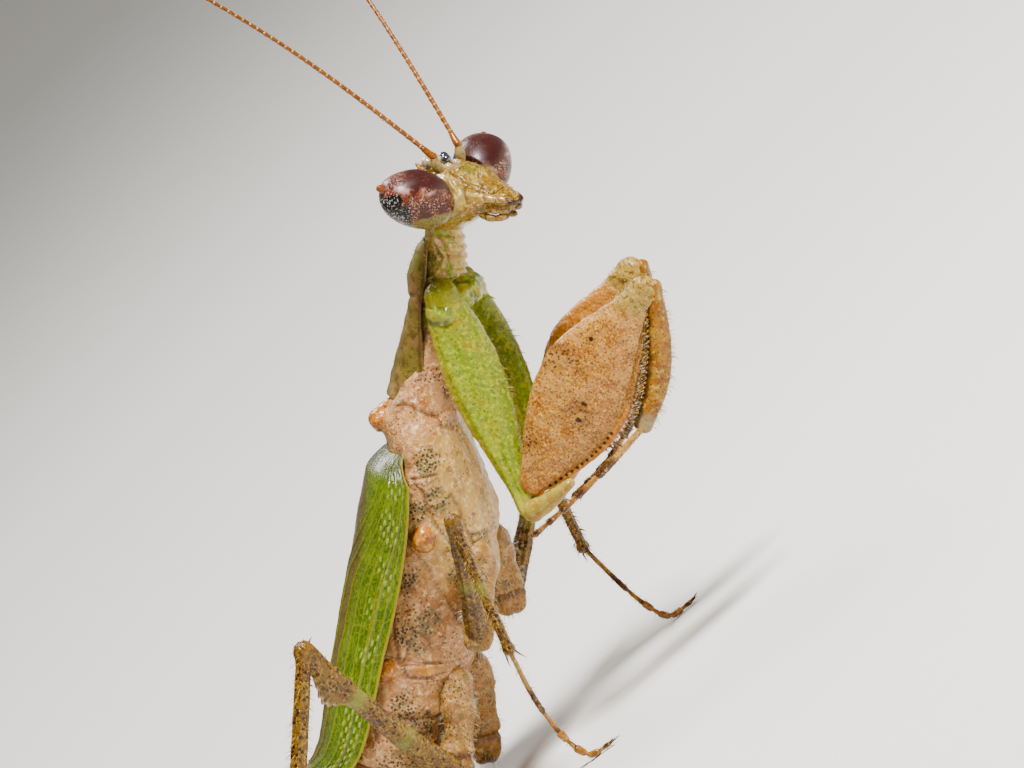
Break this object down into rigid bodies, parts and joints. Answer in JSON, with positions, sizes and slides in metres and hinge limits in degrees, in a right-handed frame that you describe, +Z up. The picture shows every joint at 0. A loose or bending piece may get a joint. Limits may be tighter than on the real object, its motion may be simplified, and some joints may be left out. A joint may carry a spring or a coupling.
{
  "type": "praying mantis",
  "caption": "Life-size still model of a boxer mantis standing on its walking legs, head up, forelegs folded to strike and forewings closed over the back.",
  "frame": {"origin": "on the floor under the middle of the animal's bounding box", "axes": "the animal faces -Y, its right side is towards -X, +Z is up"},
  "size_m": [0.0204, 0.0224, 0.025],
  "materials": {
    "speckled_pale_cuticle": "pale peach cuticle with dark specks, satin",
    "olive_brown_cuticle": "olive-brown cuticle, satin",
    "soft_straw_membrane": "soft wrinkled straw-coloured membrane",
    "straw_head_cuticle": "straw cuticle with brown grain, satin",
    "dark_maroon_eye": "glossy dark maroon with pale speckle",
    "orange_brown_feeler": "orange-brown beaded cuticle, satin",
    "leaf_green_wing": "glossy leaf-green leathery wing",
    "yellow_green_cuticle": "yellow-green cuticle, satin",
    "salmon_tan_cuticle": "salmon-tan freckled cuticle, satin",
    "dotted_straw_cuticle": "straw cuticle with dark brown dots, satin",
    "amber_foot_cuticle": "amber cuticle with dark bands, glossy"
  },
  "bodies": {
    "root": {"abdomen_front": "speckled_pale_cuticle", "abdomen_rear": "speckled_pale_cuticle", "antenna_left": "orange_brown_feeler", "antenna_right": "orange_brown_feeler", "cercus_left": "dotted_straw_cuticle", "cercus_right": "dotted_straw_cuticle", "eye_left": "dark_maroon_eye", "eye_right": "dark_maroon_eye", "fore_coxa_left": "yellow_green_cuticle", "fore_coxa_right": "yellow_green_cuticle", "fore_femur_left": "salmon_tan_cuticle", "fore_femur_right": "salmon_tan_cuticle", "fore_tarsus_left": "amber_foot_cuticle", "fore_tarsus_right": "amber_foot_cuticle", "fore_tibia_left": "salmon_tan_cuticle", "fore_tibia_right": "salmon_tan_cuticle", "fore_trochanter_left": "soft_straw_membrane", "fore_trochanter_right": "soft_straw_membrane", "forewing_left": "leaf_green_wing", "forewing_right": "leaf_green_wing", "head": "straw_head_cuticle", "hind_coxa_left": "speckled_pale_cuticle", "hind_coxa_right": "speckled_pale_cuticle", "hind_femur_left": "dotted_straw_cuticle", "hind_femur_right": "dotted_straw_cuticle", "hind_tarsus_left": "amber_foot_cuticle", "hind_tarsus_right": "amber_foot_cuticle", "hind_tibia_left": "dotted_straw_cuticle", "hind_tibia_right": "dotted_straw_cuticle", "mesothorax": "speckled_pale_cuticle", "metathorax": "speckled_pale_cuticle", "mid_coxa_left": "speckled_pale_cuticle", "mid_coxa_right": "speckled_pale_cuticle", "mid_femur_left": "dotted_straw_cuticle", "mid_femur_right": "dotted_straw_cuticle", "mid_tarsus_left": "amber_foot_cuticle", "mid_tarsus_right": "amber_foot_cuticle", "mid_tibia_left": "dotted_straw_cuticle", "mid_tibia_right": "dotted_straw_cuticle", "mouthparts": "straw_head_cuticle", "neck": "soft_straw_membrane", "prothorax": "olive_brown_cuticle"}
  },
  "joints": []
}
